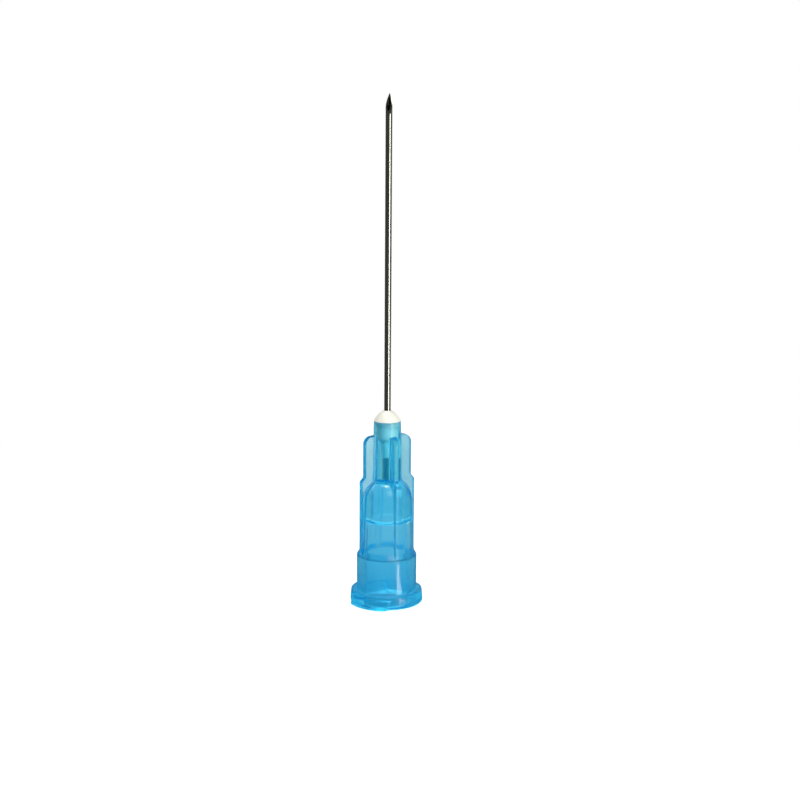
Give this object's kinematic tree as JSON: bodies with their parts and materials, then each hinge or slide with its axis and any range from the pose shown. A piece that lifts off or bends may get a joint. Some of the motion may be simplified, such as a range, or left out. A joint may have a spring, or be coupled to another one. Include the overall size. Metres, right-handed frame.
{
  "type": "hypodermic needle",
  "caption": "Hypodermic needle with a ribbed translucent hub, a tapered lock socket, a bonded steel cannula and a lancet point.",
  "frame": {"origin": "centre of the hub's open mouth, in the plane that the needle stands on", "axes": "+Z along the needle's axis towards the point; the ribs lie along X and Y, and the bevel faces between -X and -Y"},
  "size_m": [0.0078, 0.0074, 0.0492],
  "materials": {
    "hub_plastic": "clear blue polypropylene, glossy, seen through",
    "cannula_steel": "drawn and polished stainless steel with a ground bevel",
    "adhesive_epoxy": "cured ivory white epoxy, smooth"
  },
  "bodies": {
    "root": {"hub": "hub_plastic", "cannula": "cannula_steel", "adhesive": "adhesive_epoxy"}
  },
  "joints": []
}
